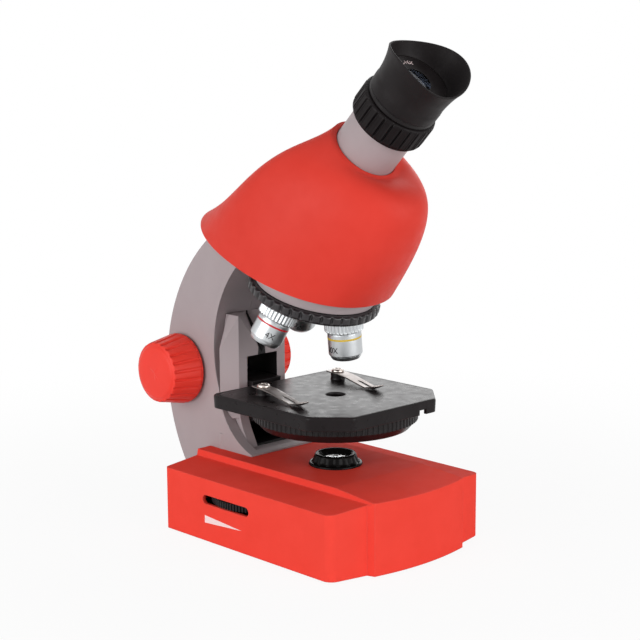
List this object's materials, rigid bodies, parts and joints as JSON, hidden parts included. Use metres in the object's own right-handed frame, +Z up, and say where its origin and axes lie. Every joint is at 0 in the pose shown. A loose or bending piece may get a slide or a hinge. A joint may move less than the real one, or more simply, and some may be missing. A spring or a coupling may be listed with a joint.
{
  "type": "kids microscope",
  "caption": "Toy compound microscope with lit base, C-shaped arm, focusing stage with clips and filter disc, turret of three objectives and tilted zoom eyepiece.",
  "frame": {"origin": "on the surface it stands on, at the middle of the left-right symmetry plane; the feet's mount lies in that plane", "axes": "+Z up, the eyepiece leans towards -Y, the arm stands at +Y, +X to the user's right when facing the eyepiece from -Y"},
  "size_m": [0.1154, 0.2052, 0.2737],
  "materials": {
    "red_abs": "moulded ABS, satin gloss",
    "warm_grey_abs": "moulded ABS, satin",
    "black_abs": "moulded ABS, satin",
    "black_rubber": "matte",
    "satin_aluminium": "turned and anodised",
    "spring_steel": "rolled",
    "zinc_steel": "zinc plated",
    "clear_acrylic": "polished",
    "green_board": "solder mask",
    "brass": "turned",
    "nylon": "moulded nylon",
    "colour_gel": "dyed acrylic",
    "cell_sleeve": "printed shrink sleeve"
  },
  "bodies": {
    "microscope": {"base_shell": "red_abs", "base_plate": "red_abs", "battery_tray": "black_abs", "battery_door": "red_abs", "battery_cells": "cell_sleeve", "battery_contacts": "spring_steel", "rubber_feet": "black_rubber", "case_screws": "zinc_steel", "arm_screws": "zinc_steel", "circuit_board": "green_board", "dimmer_potentiometer": "black_abs", "lamp_led": "clear_acrylic", "lamp_housing": "black_abs", "lamp_lens": "clear_acrylic", "arm_left_shell": "warm_grey_abs", "arm_right_shell": "warm_grey_abs", "slide_guide_left": "warm_grey_abs", "slide_guide_right": "warm_grey_abs", "shaft_bush_left": "brass", "shaft_bush_right": "brass", "turret_screw": "zinc_steel", "head_core": "warm_grey_abs", "light_prism": "clear_acrylic", "hood": "red_abs", "eyepiece_tube": "warm_grey_abs", "eyepiece_barrel": "black_abs", "lens_plate": "black_abs", "eye_lens": "clear_acrylic", "eyecup": "black_rubber"},
    "dimmer": {"dimmer_wheel": "black_abs"},
    "focus": {"focus_shaft": "zinc_steel", "focus_pinion": "nylon", "focus_knob_left": "red_abs", "focus_knob_right": "red_abs", "friction_washers": "nylon", "knob_caps": "red_abs"},
    "stage": {"focus_rack": "nylon", "slide_carriage": "black_abs", "stage_bracket": "black_abs", "stage_plate": "black_abs", "stage_screws": "zinc_steel", "disc_pivot": "zinc_steel", "clip_screw_left": "zinc_steel", "clip_screw_right": "zinc_steel"},
    "clip_left": {"stage_clip_left": "spring_steel"},
    "clip_right": {"stage_clip_right": "spring_steel"},
    "disc": {"filter_disc": "black_abs", "filter_gels": "colour_gel"},
    "turret": {"turret": "black_abs", "front_lenses": "clear_acrylic", "objective_10x": "satin_aluminium", "objective_40x": "satin_aluminium", "objective_4x": "satin_aluminium"},
    "zoom": {"zoom_ring": "black_abs"},
    "zoom_optics": {"zoom_lens_carrier": "black_abs", "zoom_lens": "clear_acrylic"}
  },
  "joints": [
    {"name": "stage_slide", "type": "slide", "parent": "microscope", "child": "stage", "axis": [0, 0, 1], "range_m": [-0.012, 0.012]},
    {"name": "focus_turn", "type": "hinge", "parent": "microscope", "child": "focus", "pos_m": [0, 0.089, 0.0847], "axis": [-1, 0, 0], "range_deg": [-98.5, 98.5]},
    {"name": "disc_turn", "type": "hinge", "parent": "stage", "child": "disc", "pos_m": [0.00552, -0.00618, 0.0623], "axis": [0, 0, 1], "continuous": true},
    {"name": "clip_left_turn", "type": "hinge", "parent": "stage", "child": "clip_left", "pos_m": [-0.0283, 0.0153, 0.0811], "axis": [0, 0, 1], "range_deg": [-35, 55]},
    {"name": "clip_right_turn", "type": "hinge", "parent": "stage", "child": "clip_right", "pos_m": [0.0283, 0.0153, 0.0811], "axis": [0, 0, 1], "range_deg": [-40, 45]},
    {"name": "turret_turn", "type": "hinge", "parent": "microscope", "child": "turret", "pos_m": [0, 0.00546, 0.133], "axis": [0, -0.3173, 0.9483], "continuous": true},
    {"name": "zoom_turn", "type": "hinge", "parent": "microscope", "child": "zoom", "pos_m": [0, -0.0117, 0.1912], "axis": [0, -0.7034, 0.7108], "range_deg": [0, 90.3]},
    {"name": "zoom_lens_slide", "type": "slide", "parent": "microscope", "child": "zoom_optics", "axis": [0, -0.7034, 0.7108], "range_m": [0, 0.006]},
    {"name": "dimmer_turn", "type": "hinge", "parent": "microscope", "child": "dimmer", "pos_m": [-0.0279, 0.0147, 0.0245], "axis": [0, 0, 1], "range_deg": [-135, 135]}
  ],
  "couplings": [
    {"joint": "focus_turn", "follows": "stage_slide", "rad_per_m": 142.86},
    {"joint": "zoom_turn", "follows": "zoom_lens_slide", "rad_per_m": 261.8}
  ]
}
